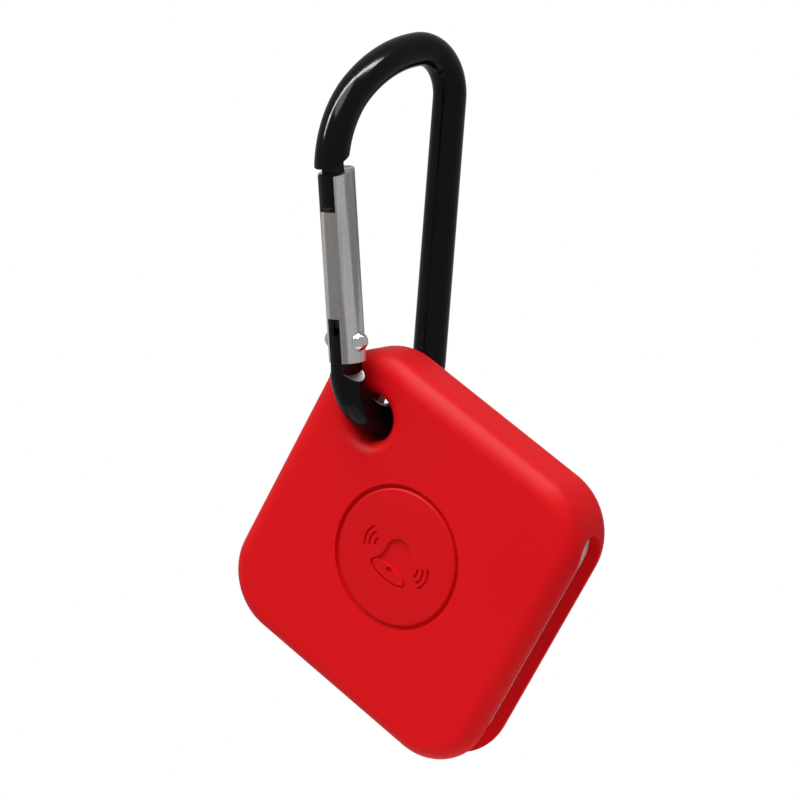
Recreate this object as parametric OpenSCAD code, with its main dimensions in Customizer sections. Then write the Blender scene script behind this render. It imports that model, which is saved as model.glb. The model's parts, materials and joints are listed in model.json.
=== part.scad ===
// Bluetooth tracker tag in a silicone sleeve, hung on a small snap-hook carabiner.
// Millimetres. The origin is the inside of the carabiner's top bend, where it would
// hang from a hook: +Z is up and the tag's front face looks toward -Y.

/* [Tracker] */
// Side of the square tracker
tracker_side = 35.8; // [32:0.1:45]
// Front to back thickness of the tracker
tracker_thick = 6; // [5.8:0.1:7.4]
// Radius of its four corners seen from the front
tracker_corner_r = 6.1; // [5:0.1:7.5]
// Wall of its two shells at the sides
shell_wall = 0.9; // [0.7:0.05:1.1]
// Radius of the round button cap
cap_r = 6.9; // [5.7:0.1:7.4]
// Travel of the button
button_travel = 0.2; // [0.1:0.05:0.25]
// Thickness of the circuit board
board_t = 0.8; // [0.6:0.1:1]
// Diameter of the coin cell
cell_d = 16; // [12.5:0.5:19.5]
// Height of the coin cell
cell_h = 2; // [1.6:0.1:2.1]
// Diameter of the sounder disc
sounder_d = 12; // [9:0.5:14.5]

/* [Sleeve] */
// Silicone thickness at the four sides
side_wall = 1.6; // [1.3:0.1:2]
// Silicone thickness over the two faces
face_wall = 1.4; // [1.1:0.1:1.8]
// Radius of the rounding where the faces meet the sides
sleeve_edge_r = 2.3; // [1.6:0.1:2.7]
// Hole centre to the tip of the rounded corner beside it
hole_to_tip = 7.9; // [7.3:0.1:9.5]
// Radius of the soft rim on both ends of the corner hole
hole_rim_r = 1.6; // [1.4:0.1:2.2]
// Play between the bar and the hole where the bend passes the rims
hole_play = 0.3; // [0.26:0.02:0.6]
// Mid radius of the round groove about the press pad
groove_r = 8.4; // [7.5:0.1:9.4]
// Width of that groove
groove_w = 0.5; // [0.4:0.05:0.7]
// Depth of the engraved bell and its sound lines
icon_depth = 0.35; // [0.2:0.05:0.5]
// Turn of the tag about its hole, from hanging straight down
tag_turn = -13.9; // [-20:0.1:20]

/* [Carabiner] */
// Diameter of the bent aluminium bar
bar_d = 4; // [3.3:0.1:4.8]
// Space between the small bend and the faces of the sleeve
bend_space = 0.9; // [0.7:0.1:2]
// Straight length of the spine
spine_len = 31; // [25:0.1:37.5]
// Outward lean of the spine
spine_lean = 6.7; // [5.5:0.1:8.1]
// Centreline radius of the tight bend at the top of the spine
top_r = 5.4; // [4.5:0.1:6.5]
// Sweep of that tight bend
top_sweep = 101; // [98:1:104]
// Centreline radius of the long shoulder of the arch
arch_r = 19; // [17:0.1:21]
// Sweep of that shoulder
arch_sweep = 33.5; // [31:0.5:36]
// Centreline radius of the arch where it comes down to the nose
nose_r = 12; // [11:0.1:13]
// Turn of the carabiner's plane about the vertical
clip_yaw = -8; // [-9:0.5:0]

/* [Gate] */
// Diameter of the gate
gate_d = 4.3; // [3.9:0.1:4.8]
// Height of the pivot above the centre of the small bend
pivot_rise = 2.8; // [2.6:0.1:3.3]
// Gap between the top end of the gate and the nose
nose_gap = 1.6; // [1.3:0.1:1.9]
// Slant of the gate's top end
gate_slant = 11; // [9:1:13]
// Slant of the end of the nose above it
nose_slant = 21; // [17:1:23]
// Thickness of the tongue on the pivot
tongue_t = 1.6; // [1.3:0.1:1.9]
// Radius of the pivot pin
pin_r = 0.65; // [0.55:0.05:0.75]
// Radial clearance of the pin in the tongue
pin_clear = 0.05; // [0.02:0.01:0.08]

/* [Hidden] */
$fa = 6;
$fs = 0.35;
eps = 0.5;

half_tracker = tracker_thick / 2;
half_thick = half_tracker + face_wall;
tracker_half = tracker_side / 2;
half_side = tracker_half + side_wall;
sleeve_corner_r = tracker_corner_r + side_wall;
sleeve_thick = 2 * half_thick;

// Small bend: its inside clears the faces of the sleeve, and the hole clears its inside
bar_r = bar_d / 2;
bend_inner_r = half_thick + bend_space;
bend_r = bend_inner_r + bar_r;
rim_part = 0.75 * hole_rim_r;
tight_w = half_thick - hole_rim_r + rim_part;
bend_rise = bend_inner_r - sqrt(bend_inner_r * bend_inner_r - tight_w * tight_w);
rim_rise = hole_rim_r - sqrt(hole_rim_r * hole_rim_r - rim_part * rim_part);
hole_lift = 0.7;
hole_r = bar_r + bend_rise - rim_rise + hole_play - hole_lift;
hole_inset = half_side * sqrt(2) - sleeve_corner_r * (sqrt(2) - 1) - hole_to_tip;
hole_uv = hole_inset / sqrt(2);

// Arch of the carabiner in its own plane: [y, z] from the bottom of the small bend
spine_dir = [sin(spine_lean), cos(spine_lean)];
spine_normal = [-cos(spine_lean), sin(spine_lean)];
spine_foot = [bend_r * cos(spine_lean), bend_r * (1 - sin(spine_lean))];
spine_top = spine_foot + spine_len * spine_dir;
top_centre = spine_top + top_r * spine_normal;
top_start = -spine_lean;
arch_start = top_start + top_sweep;
arch_centre = top_centre + (top_r - arch_r) * [cos(arch_start), sin(arch_start)];
nose_start = arch_start + arch_sweep;
nose_centre = arch_centre + (arch_r - nose_r) * [cos(nose_start), sin(nose_start)];
nose_sweep = 186 - nose_start;
nose_end = nose_centre + nose_r * [cos(173), sin(173)];
hang_y = top_centre[0];
hang_z = top_centre[1] + top_r - bar_r;
band_h = 0.01;
band_gap = 0.05;

// Gate: its axis runs from the pivot to just inside the end of the nose
gate_r = gate_d / 2;
pivot_y = -bend_r;
pivot_z = bend_r + pivot_rise;
nose_step = 0.55;
gate_run = [nose_end[0] + nose_step - pivot_y, nose_end[1] - pivot_z];
gate_lean = atan2(-gate_run[0], gate_run[1]);
gate_len = norm(gate_run) - nose_gap;
gate_foot = 2.4;
gate_slot_top = 2.8;
gate_slot_half = tongue_t / 2 + 0.07;
latch_half = 1.15;
latch_clear = 0.15;
latch_slot_z = gate_len - 4.5;
latch_floor_y = 0.45;
bore_r = 1.35;
bore_top = 11.5;
cam_r = 1.6;
cam_offset = 0.57;
plunger_r = bore_r - 0.07;
plunger_len = 2.8;
plunger_z = cam_r + 0.01;
mill_r = norm([gate_foot, gate_r]) + 0.8;
mill_ramp = 1.1;
head_r = 1.1;
head_h = 1.05;
head_seat_x = gate_r - 0.17;
spring_wire = 0.35;
spring_r = bore_r - 0.3;
spring_turns = 7;

// Tracker, measured along w from the mid plane, front positive
tracker_edge_r = 0.8;
pocket_fit = 0.05;
collar_wall = 2;
collar_r = hole_r + collar_wall;
eyelet_r = collar_r + 0.1;
eyelet_wall = 1.1;
collar_depth = 1.5;
split_w = 0.2;
front_skin = 0.9;
rear_skin = 0.7;
front_in = half_tracker - front_skin;
rear_in = -half_tracker + rear_skin;
cavity_half = tracker_half - shell_wall;
cavity_corner_r = tracker_corner_r - shell_wall;
lip_h = 0.65;
lip_t = 0.4;
post_uv = cavity_half - 3;
post_r = 0.8;
cap_gap = 0.15;
flange_r = cap_r + 0.7;
flange_t = 0.3;
flange_top = front_in - 0.05;
cap_top_t = 0.8;
board_back = 0.1;
board_front = board_back + board_t;
base_h = 0.55;
stem_r = 0.85;
stem_h = 0.45;
stem_top = board_front + 0.8;
dome_t = 0.08;
cell_pos = [-4.5, -6.5];
cell_front = -0.05;
cell_back = cell_front - cell_h;
leaf_t = 0.15;
sounder_pos = [-7.5, 9];
sounder_tape_t = 0.1;
sounder_disc_t = 0.2;
sounder_ceramic_t = 0.15;

// Press pad and slot of the sleeve
pad_r = groove_r - groove_w / 2;
window_r = groove_r + groove_w / 2;
pad_relief = button_travel + 0.1;
slot_half = half_thick - sleeve_edge_r;
slot_end = half_side - 3.6;

// ---------- placing ----------

// Carabiner coordinates: X across, Y from gate to spine, Z up from the small bend
module clip_pose() {
    rotate([0, 0, clip_yaw]) translate([0, -hang_y, -hang_z]) children();
}

// Gate coordinates: origin on the pivot, Z along the closed gate
module gate_pose() {
    clip_pose() translate([0, pivot_y, pivot_z]) rotate([gate_lean, 0, 0]) children();
}

// Face coordinates of the tag: x right, y up to the hole corner, z (w) to the front
module face_pose() {
    translate([hang_y * sin(clip_yaw), -hang_y * cos(clip_yaw), hole_lift - hang_z])
        rotate([0, tag_turn, 0])
            translate([0, 0, -hole_inset])
                rotate([90, 0, 0]) children();
}

// The same with x and y along the sides of the square; the hole is in the ++ corner
module square_pose() {
    face_pose() rotate([0, 0, 45]) children();
}

// Turns a drawing in [y, z] into the carabiner's plane, extruding along X
module in_clip_plane() {
    rotate([90, 0, 90]) children();
}

// ---------- shared shapes ----------

module square_outline(half, corner_r) {
    in = half - corner_r;
    square([2 * half, 2 * in], center = true);
    square([2 * in, 2 * half], center = true);
    for (u = [-in, in], v = [-in, in])
        translate([u, v]) circle(r = corner_r);
}

// Half section of a plate with rounded edges, from its axis out to reach
module edge_section(reach, thick, edge_r) {
    flat = thick / 2 - edge_r;
    translate([0, -thick / 2]) square([reach - edge_r, thick]);
    translate([0, -flat]) square([reach, 2 * flat]);
    for (w = [-flat, flat])
        intersection() {
            translate([reach - edge_r, w]) circle(r = edge_r);
            translate([reach - edge_r, -thick / 2]) square([edge_r, thick]);
        }
}

// Square plate with round corners and round edges, centred on the mid plane
module soft_plate(half, corner_r, edge_r, thick) {
    in = half - corner_r;
    translate([-in, -in, -thick / 2]) cube([2 * in, 2 * in, thick]);
    for (side = [0:3])
        rotate([0, 0, 90 * side]) {
            translate([in, in, 0]) rotate([90, 0, 0])
                linear_extrude(2 * in) edge_section(corner_r, thick, edge_r);
            translate([in, in, 0])
                rotate_extrude(angle = 90) edge_section(corner_r, thick, edge_r);
        }
}

module slab(w0, w1) {
    translate([0, 0, w0]) linear_extrude(w1 - w0) children();
}

module disc(r, w0, w1) {
    translate([0, 0, w0]) cylinder(r = r, h = w1 - w0);
}

module ring(r_in, r_out, w0, w1) {
    difference() {
        disc(r_out, w0, w1);
        disc(r_in, w0 - eps, w1 + eps);
    }
}

// Space of the corner hole: a bore that opens out over a round rim at both faces
module hole_space() {
    flat = half_thick - hole_rim_r;
    reach = hole_r + hole_rim_r;
    rotate_extrude()
        difference() {
            translate([0, -half_thick]) square([reach, sleeve_thick]);
            translate([hole_r, -flat]) square([hole_rim_r, 2 * flat]);
            for (w = [-flat, flat]) translate([reach, w]) circle(r = hole_rim_r);
        }
}

// ---------- sleeve ----------

// Slot along the lower right side, round at its top end, wrapping the bottom corner
module slot_space() {
    depth = side_wall + 3;
    length = half_side + slot_end - slot_half;
    translate([-half_side - eps, -half_side - eps, -slot_half])
        cube([length + eps, depth + eps, 2 * slot_half]);
    translate([slot_end - slot_half, -half_side - eps, 0])
        rotate([-90, 0, 0]) cylinder(r = slot_half, h = depth + eps);
    translate([-half_side - eps, -half_side - eps, -slot_half])
        cube([depth + eps, sleeve_corner_r + eps, 2 * slot_half]);
}

module silicone_sleeve() {
    color([0.83, 0.07, 0.08])
        square_pose()
            difference() {
                union() {
                    difference() {
                        soft_plate(half_side, sleeve_corner_r, sleeve_edge_r, sleeve_thick);
                        soft_plate(tracker_half + pocket_fit, tracker_corner_r + pocket_fit,
                                   tracker_edge_r, tracker_thick + 2 * pocket_fit);
                        slot_space();
                        disc(window_r, half_tracker - eps, half_thick + eps);
                    }
                    translate([hole_uv, hole_uv, 0]) {
                        disc(collar_r, half_tracker - collar_depth, half_tracker + 0.3);
                        disc(collar_r, -half_tracker - 0.3, -half_tracker + collar_depth);
                    }
                }
                translate([hole_uv, hole_uv, 0]) hole_space();
            }
}

// Curved line of the icon, facing +y from its centre
module sound_line(r) {
    line_w = 0.28;
    intersection() {
        difference() {
            circle(r = r + line_w / 2);
            circle(r = r - line_w / 2);
        }
        polygon([[0, 0], [2.4, 3.3], [-2.4, 3.3]]);
    }
}

module oval(centre_x, a, b) {
    polygon([for (t = [0:10:350]) [centre_x + a * cos(t), b * sin(t)]]);
}

// Ringing bell, its crown toward +x: dome and flared skirt, open mouth, clapper
module bell_icon() {
    mouth_x = -2.2;
    difference() {
        union() {
            translate([0.55, 0]) circle(r = 1.75);
            polygon([[0.3, 1.74], [-0.8, 1.9], [-1.55, 2.26], [mouth_x, 2.75],
                     [mouth_x, -2.75], [-1.55, -2.26], [-0.8, -1.9], [0.3, -1.74]]);
            oval(mouth_x, 1.1, 2.75);
        }
        oval(mouth_x, 0.8, 2.45);
    }
    oval(-1.85, 0.35, 0.48);
    for (side = [0, 1])
        mirror([0, side, 0]) translate([0, 2.57]) {
            sound_line(0.75);
            sound_line(1.52);
            sound_line(2.22);
        }
}

module sleeve_press_pad() {
    color([0.8, 0.06, 0.08])
        square_pose()
            difference() {
                union() {
                    disc(pad_r, half_tracker + pad_relief, half_thick);
                    disc(cap_r - 0.2, half_tracker, half_tracker + pad_relief);
                }
                slab(half_thick - icon_depth, half_thick + eps) bell_icon();
            }
}

// ---------- carabiner ----------

// Hair-thin band over each change of bend, in which the two lengths of bar join
module bar_band() {
    rotate([90, 0, 0]) cylinder(r = bar_r + band_h, h = 6 * band_gap, center = true);
}

module bar_arc(centre, radius, start, sweep) {
    trim = band_gap / radius * 180 / PI;
    in_clip_plane() translate([centre[0], centre[1], 0]) {
        rotate([0, 0, start]) translate([radius, 0, 0]) bar_band();
        rotate([0, 0, start + trim]) rotate_extrude(angle = sweep - 2 * trim)
            translate([radius, 0]) circle(r = bar_r);
    }
}

module spine() {
    in_clip_plane() translate([spine_foot[0], spine_foot[1], 0]) rotate([0, 0, -spine_lean]) {
        bar_band();
        translate([0, band_gap, 0]) rotate([-90, 0, 0])
            cylinder(r = bar_r, h = spine_len - 2 * band_gap);
    }
}

// Everything above a slanted end face, in gate coordinates
module above_joint(z_axis, slant) {
    translate([0, 0, z_axis]) rotate([slant, 0, 0])
        translate([-10, -15, 0]) cube([20, 30, 20]);
}

// Tongue below the nose: its head lies in the gate's top slot, under a narrower neck
module nose_tongue() {
    head_top = gate_len - 0.1;
    head_foot = latch_slot_z + 0.6;
    half_t = latch_half - latch_clear;
    inner_y = latch_floor_y - latch_clear;
    intersection() {
        union() {
            translate([-half_t, -gate_r, head_foot])
                cube([2 * half_t, gate_r + inner_y, head_top - head_foot]);
            translate([-half_t, -1.3, head_foot])
                cube([2 * half_t, 1.3 + inner_y, gate_len + nose_gap + 0.6 - head_foot]);
        }
        translate([0, 0, head_foot - eps]) cylinder(r = gate_r - 0.05, h = 12);
    }
}

// Milled flats either side of the pivot tongue, flaring out at the shoulder
module pivot_flats() {
    for (side = [0, 180])
        rotate([0, 0, side]) translate([tongue_t / 2, 0, 0]) rotate([0, 90, 0])
            cylinder(r1 = mill_r, r2 = mill_r + mill_ramp, h = bar_r + 0.1);
}

module carabiner_frame() {
    color([0.05, 0.05, 0.06]) {
        clip_pose() difference() {
            union() {
                bar_arc([0, bend_r], bend_r, 180, 180 - spine_lean);
                spine();
                bar_arc(top_centre, top_r, top_start, top_sweep);
                bar_arc(arch_centre, arch_r, arch_start, arch_sweep);
                intersection() {
                    bar_arc(nose_centre, nose_r, nose_start, nose_sweep);
                    translate([0, pivot_y, pivot_z]) rotate([gate_lean, 0, 0])
                        above_joint(gate_len + nose_gap, nose_slant);
                }
                translate([0, pivot_y, pivot_z]) rotate([gate_lean, 0, 0]) nose_tongue();
                translate([0, pivot_y, bend_r + band_gap])
                    cylinder(r = bar_r, h = pivot_z - bend_r + 0.6);
                translate([-tongue_t / 2, pivot_y, pivot_z]) rotate([gate_lean, 0, 0])
                    translate([0, cam_offset, 0]) rotate([0, 90, 0])
                        cylinder(r = cam_r, h = tongue_t);
            }
            translate([0, pivot_y, pivot_z]) pivot_flats();
            translate([-bar_r, pivot_y, pivot_z]) rotate([0, 90, 0])
                cylinder(r = pin_r + pin_clear, h = bar_d);
        }
    }
}

// ---------- gate ----------

module gate_bar() {
    color([0.68, 0.67, 0.68])
        gate_pose() difference() {
            translate([0, 0, -gate_foot]) cylinder(r = gate_r, h = gate_foot + gate_len + 1);
            above_joint(gate_len, gate_slant);
            translate([-gate_slot_half, -gate_d, -gate_foot - eps])
                cube([2 * gate_slot_half, 2 * gate_d, gate_foot + gate_slot_top + eps]);
            translate([-latch_half, -gate_d, latch_slot_z])
                cube([2 * latch_half, gate_d + latch_floor_y, 10]);
            translate([0, 0, -gate_foot - eps])
                cylinder(r = bore_r, h = gate_foot + bore_top + eps);
            translate([-gate_d, 0, 0]) rotate([0, 90, 0]) cylinder(r = pin_r, h = 2 * gate_d);
            for (side = [0, 180])
                rotate([0, 0, side]) translate([head_seat_x, 0, 0])
                    rotate([0, 90, 0]) cylinder(r = head_r + 0.06, h = gate_d);
        }
}

module pin_head() {
    ball_r = (head_r * head_r + head_h * head_h) / (2 * head_h);
    rotate_extrude() intersection() {
        translate([0, head_h - ball_r]) circle(r = ball_r);
        square([head_r, head_h]);
    }
}

module gate_pin() {
    color([0.8, 0.8, 0.8])
        gate_pose() {
            translate([-head_seat_x, 0, 0]) rotate([0, 90, 0])
                cylinder(r = pin_r, h = 2 * head_seat_x);
            for (side = [0, 180])
                rotate([0, 0, side]) translate([head_seat_x, 0, 0])
                    rotate([0, 90, 0]) pin_head();
        }
}

module gate_plunger() {
    color([0.15, 0.15, 0.15])
        gate_pose() translate([0, 0, plunger_z]) cylinder(r = plunger_r, h = plunger_len);
}

// Round wire wound as a helix between two heights
module coil(r, wire_r, z0, z1, turns) {
    steps = 20;
    sides = 8;
    n = turns * steps;
    rings = [for (i = [0:n]) let (a = 360 * i / steps, z = z0 + (z1 - z0) * i / n)
        for (j = [0:sides - 1]) let (b = 360 * j / sides, d = r + wire_r * cos(b))
            [d * cos(a), d * sin(a), z + wire_r * sin(b)]];
    walls = [for (i = [0:n - 1]) for (j = [0:sides - 1])
        let (k = (j + 1) % sides, p = i * sides)
            for (f = [[p + j, p + k, p + sides + k], [p + j, p + sides + k, p + sides + j]]) f];
    first = [for (j = [sides - 1:-1:0]) j];
    last = [for (j = [0:sides - 1]) n * sides + j];
    polyhedron(points = rings, faces = concat(walls, [first], [last]), convexity = 10);
}

module gate_spring() {
    color([0.7, 0.7, 0.72])
        gate_pose()
            coil(spring_r, spring_wire / 2, plunger_z + plunger_len + spring_wire / 2 + 0.02,
                 bore_top - spring_wire / 2 - 0.02, spring_turns);
}

// ---------- tracker shells ----------

module tracker_body(edge_r) {
    soft_plate(tracker_half, tracker_corner_r, edge_r, tracker_thick);
}

module cavity_outline(grow) {
    difference() {
        square_outline(cavity_half + grow, cavity_corner_r + grow);
        translate([hole_uv, hole_uv]) circle(r = eyelet_r + eyelet_wall - grow);
    }
}

module posts(w0, w1) {
    for (p = [[1, -1], [-1, -1], [-1, 1]])
        translate([post_uv * p[0], post_uv * p[1], 0]) disc(post_r, w0, w1);
}

module front_shell() {
    color([0.93, 0.93, 0.92])
        square_pose() {
            difference() {
                tracker_body(tracker_edge_r);
                slab(-half_tracker - eps, split_w) square(3 * tracker_side, center = true);
                slab(-eps, front_in) cavity_outline(0);
                slab(-eps, split_w + lip_h) cavity_outline(lip_t + 0.05);
                disc(cap_r + cap_gap, 0, half_tracker + eps);
                translate([hole_uv, hole_uv, 0]) disc(eyelet_r, -eps, half_tracker + eps);
            }
            posts(board_front, front_in);
        }
}

module rear_shell() {
    color([0.9, 0.9, 0.89])
        square_pose() {
            difference() {
                tracker_body(tracker_edge_r);
                slab(split_w, half_tracker + eps) square(3 * tracker_side, center = true);
                slab(rear_in, split_w + eps) cavity_outline(0);
                translate([hole_uv, hole_uv, 0])
                    disc(eyelet_r, -half_tracker - eps, split_w + eps);
            }
            slab(split_w, split_w + lip_h - 0.05) difference() {
                cavity_outline(lip_t);
                cavity_outline(0);
            }
            posts(rear_in, board_back);
        }
}

// ---------- button ----------

module button_cap() {
    flange_foot = flange_top - flange_t;
    color([0.88, 0.88, 0.87])
        face_pose() {
            disc(cap_r, half_tracker - cap_top_t, half_tracker);
            ring(cap_r - 0.7, cap_r, flange_foot, half_tracker - cap_top_t);
            ring(cap_r - 0.7, flange_r, flange_foot, flange_top);
            disc(1.1, stem_top, half_tracker - cap_top_t);
        }
}

module switch_stem() {
    color([0.1, 0.1, 0.1])
        face_pose() disc(stem_r, stem_top - stem_h, stem_top);
}

module switch_dome() {
    color([0.8, 0.8, 0.78])
        face_pose() disc(stem_r, stem_top - stem_h - dome_t, stem_top - stem_h);
}

module switch_base() {
    color([0.15, 0.15, 0.16])
        square_pose()
            difference() {
                translate([-1.7, -1.7, board_front]) cube([3.4, 3.4, base_h]);
                disc(stem_r + 0.1, board_front - eps, board_front + base_h + eps);
            }
}

// ---------- electronics ----------

module circuit_board() {
    color([0.05, 0.3, 0.14])
        square_pose() slab(board_back, board_front) difference() {
            square_outline(cavity_half - 0.4, cavity_corner_r - 0.4);
            translate([hole_uv, hole_uv]) circle(r = eyelet_r + eyelet_wall + 0.3);
        }
}

// Box soldered to the front of the board, centred at at
module chip_box(at, size) {
    square_pose() translate([at[0] - size[0] / 2, at[1] - size[1] / 2, board_front])
        cube(size);
}

module bluetooth_chip() {
    color([0.08, 0.08, 0.09]) chip_box([9, -9], [5, 5, 0.85]);
}

module main_crystal() {
    color([0.75, 0.75, 0.72]) chip_box([3, -13], [2.5, 2, 0.5]);
}

module clock_crystal() {
    color([0.78, 0.76, 0.7]) chip_box([13.2, -2], [1.5, 3.2, 0.75]);
}

module chip_antenna() {
    color([0.85, 0.85, 0.8]) chip_box([-13.6, 0], [2.2, 8, 1]);
}

module chip_capacitors() {
    color([0.6, 0.5, 0.38])
        for (at = [[5, -8.3], [5, -10], [8.4, -13], [10.4, -13],
                   [-9.5, -9.5], [-11.3, -9.5], [-4, -12.5], [-6, -12.5]])
            chip_box(at, [1, 0.5, 0.5]);
}

// ---------- coin cell and its contacts ----------

module cell_pose() {
    square_pose() translate([cell_pos[0], cell_pos[1], 0]) children();
}

module battery_can() {
    color([0.78, 0.78, 0.79])
        cell_pose() difference() {
            disc(cell_d / 2, cell_back, cell_front - 0.25);
            disc(cell_d / 2 - 0.25, cell_back + 0.25, cell_front + eps);
        }
}

module battery_cap() {
    cap = cell_d / 2 - 0.7;
    color([0.74, 0.74, 0.75])
        cell_pose() difference() {
            disc(cap, cell_back + 0.45, cell_front);
            disc(cap - 0.2, cell_back + 0.45 - eps, cell_front - 0.2);
        }
}

module battery_gasket() {
    color([0.2, 0.2, 0.2])
        cell_pose() ring(cell_d / 2 - 0.7, cell_d / 2 - 0.25, cell_back + 0.25, cell_front - 0.1);
}

module battery_core() {
    color([0.3, 0.3, 0.32])
        cell_pose() disc(cell_d / 2 - 0.9, cell_back + 0.25, cell_front - 0.2);
}

module negative_contact() {
    color([0.82, 0.74, 0.5])
        cell_pose() disc(3.5, cell_front, board_back);
}

module positive_contact() {
    reach = cell_d / 2 + 0.6;
    color([0.82, 0.74, 0.5])
        cell_pose() {
            translate([-4, -2, cell_back - leaf_t]) cube([4 + reach, 4, leaf_t]);
            translate([reach - leaf_t, -2, cell_back - leaf_t])
                cube([leaf_t, 4, board_back - cell_back + leaf_t]);
            translate([reach - leaf_t, -2, board_back - leaf_t]) cube([1.6, 4, leaf_t]);
        }
}

// ---------- sounder ----------

module sounder_pose() {
    square_pose() translate([sounder_pos[0], sounder_pos[1], rear_in]) children();
}

module sounder_tape() {
    color([0.9, 0.9, 0.85])
        sounder_pose() ring(sounder_d / 2 - 0.8, sounder_d / 2, 0, sounder_tape_t);
}

module sounder_disc() {
    color([0.8, 0.65, 0.3])
        sounder_pose() disc(sounder_d / 2, sounder_tape_t, sounder_tape_t + sounder_disc_t);
}

module sounder_ceramic() {
    foot = sounder_tape_t + sounder_disc_t;
    color([0.85, 0.84, 0.78])
        sounder_pose() disc(sounder_d / 2 - 1.7, foot, foot + sounder_ceramic_t);
}

// Bent leaf from the board down to a height above the rear shell
module leaf_spring(foot) {
    top = board_back - rear_in;
    translate([0, 0.5, 0]) rotate([90, 0, 0]) linear_extrude(1)
        polygon([[0, foot], [1.2, foot], [2.6, top - leaf_t], [3.6, top - leaf_t], [3.6, top],
                 [2.5, top], [1.1, foot + leaf_t], [0, foot + leaf_t]]);
}

module sounder_contacts() {
    disc_top = sounder_tape_t + sounder_disc_t;
    color([0.8, 0.78, 0.7])
        sounder_pose() {
            translate([-0.6, 0, 0]) leaf_spring(disc_top + sounder_ceramic_t);
            translate([0, -sounder_d / 2 + 0.85, 0]) leaf_spring(disc_top);
        }
}

// ---------- nodes ----------

silicone_sleeve();
sleeve_press_pad();
carabiner_frame();
gate_bar();
gate_pin();
gate_plunger();
gate_spring();
front_shell();
rear_shell();
button_cap();
circuit_board();
bluetooth_chip();
main_crystal();
clock_crystal();
chip_antenna();
chip_capacitors();
switch_base();
switch_stem();
switch_dome();
battery_can();
battery_cap();
battery_gasket();
battery_core();
positive_contact();
negative_contact();
sounder_disc();
sounder_ceramic();
sounder_tape();
sounder_contacts();
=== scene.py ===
import bmesh
import bpy
import json
from math import atan2, cos, pi, radians, sin, sqrt
from mathutils import Matrix, Vector


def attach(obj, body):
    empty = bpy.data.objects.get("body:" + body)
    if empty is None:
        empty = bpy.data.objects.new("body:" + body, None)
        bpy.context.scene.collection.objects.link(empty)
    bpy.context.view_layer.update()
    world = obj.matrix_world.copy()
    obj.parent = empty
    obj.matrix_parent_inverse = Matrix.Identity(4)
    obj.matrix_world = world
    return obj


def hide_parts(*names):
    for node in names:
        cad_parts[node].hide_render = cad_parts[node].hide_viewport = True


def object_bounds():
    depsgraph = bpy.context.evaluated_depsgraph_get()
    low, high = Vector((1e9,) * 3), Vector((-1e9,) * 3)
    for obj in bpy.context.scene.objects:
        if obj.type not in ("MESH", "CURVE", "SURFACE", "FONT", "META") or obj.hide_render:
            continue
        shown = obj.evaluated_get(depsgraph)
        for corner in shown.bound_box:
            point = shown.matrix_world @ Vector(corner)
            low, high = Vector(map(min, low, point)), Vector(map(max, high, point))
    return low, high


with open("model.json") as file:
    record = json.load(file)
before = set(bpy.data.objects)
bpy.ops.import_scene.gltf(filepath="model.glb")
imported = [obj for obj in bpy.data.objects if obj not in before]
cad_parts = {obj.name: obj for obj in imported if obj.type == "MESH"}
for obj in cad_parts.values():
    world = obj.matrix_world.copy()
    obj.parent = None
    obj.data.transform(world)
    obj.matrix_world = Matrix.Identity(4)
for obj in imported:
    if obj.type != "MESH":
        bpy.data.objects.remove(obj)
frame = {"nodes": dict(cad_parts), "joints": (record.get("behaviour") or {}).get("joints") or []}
cad_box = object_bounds()

# ---------------------------------------------------------------- carabiner frame
# The frame is one length of 4 mm aluminium bar, bent round the small bend that the tag
# hangs on, up the spine and over the arch to the nose. Its lower end is milled flat on
# both sides for the gate, and the whole is polished and anodised black.
BAR_R = 2.0
BEND_R = 7.3
PIVOT_RISE = 2.8
SPINE_LEAN = radians(6.7)
SPINE_LENGTH = 31.0
ARCH_BENDS = ((5.4, radians(101)), (19.0, radians(33.5)), (12.0, radians(60)))
BAR_SIDES = 48
BAR_START = 0.6
BEND_STEPS = 48
STEPS_PER_RADIAN = 40
NOSE_ZONE = 12
TONGUE_T = 1.6
TONGUE_HOLE_R = 0.7
CAM_R = 1.6
CAM_OFFSET = 0.57
MILL_R = 4.022
MILL_RAMP = 1.1
GATE_R = 2.15
GATE_LENGTH = 19.677
GATE_FOOT = 2.4
NOSE_GAP = 1.6
GATE_SLANT = radians(11)
NOSE_SLANT = radians(21)
LATCH_Z = GATE_LENGTH - 4.5
LATCH_HALF = 1.15
LATCH_FLOOR_Y = 0.45
LATCH_CLEAR = 0.15
LATCH_FOOT_GAP = 0.6
LATCH_TOP_GAP = 0.1
NECK_OUT = 1.3
NECK_ROOT = 0.9

ACROSS = Vector((1, 0, 0))
MM = Matrix.Scale(0.001, 4)

joints = {joint["name"]: joint for joint in frame["joints"]}
hinge = joints["gate_hinge"]
lean_axis = joints["plunger_slide"]["axis"]
clip_yaw = atan2(-hinge["axis"][1], -hinge["axis"][0])
gate_lean = atan2(Vector(lean_axis[:2]).length, lean_axis[2])
pivot_height = BEND_R + PIVOT_RISE
clip_turn = Matrix.Rotation(clip_yaw, 4, "Z")
pivot_local = Vector((0, -BEND_R, pivot_height))
CLIP = (Matrix.Translation(Vector(hinge["pos_m"])) @ clip_turn @ MM
        @ Matrix.Translation(-pivot_local))
GATE = CLIP @ Matrix.Translation(pivot_local) @ Matrix.Rotation(gate_lean, 4, "X")
GATE_IN_CLIP = Matrix.Translation(pivot_local) @ Matrix.Rotation(gate_lean, 4, "X")


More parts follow.
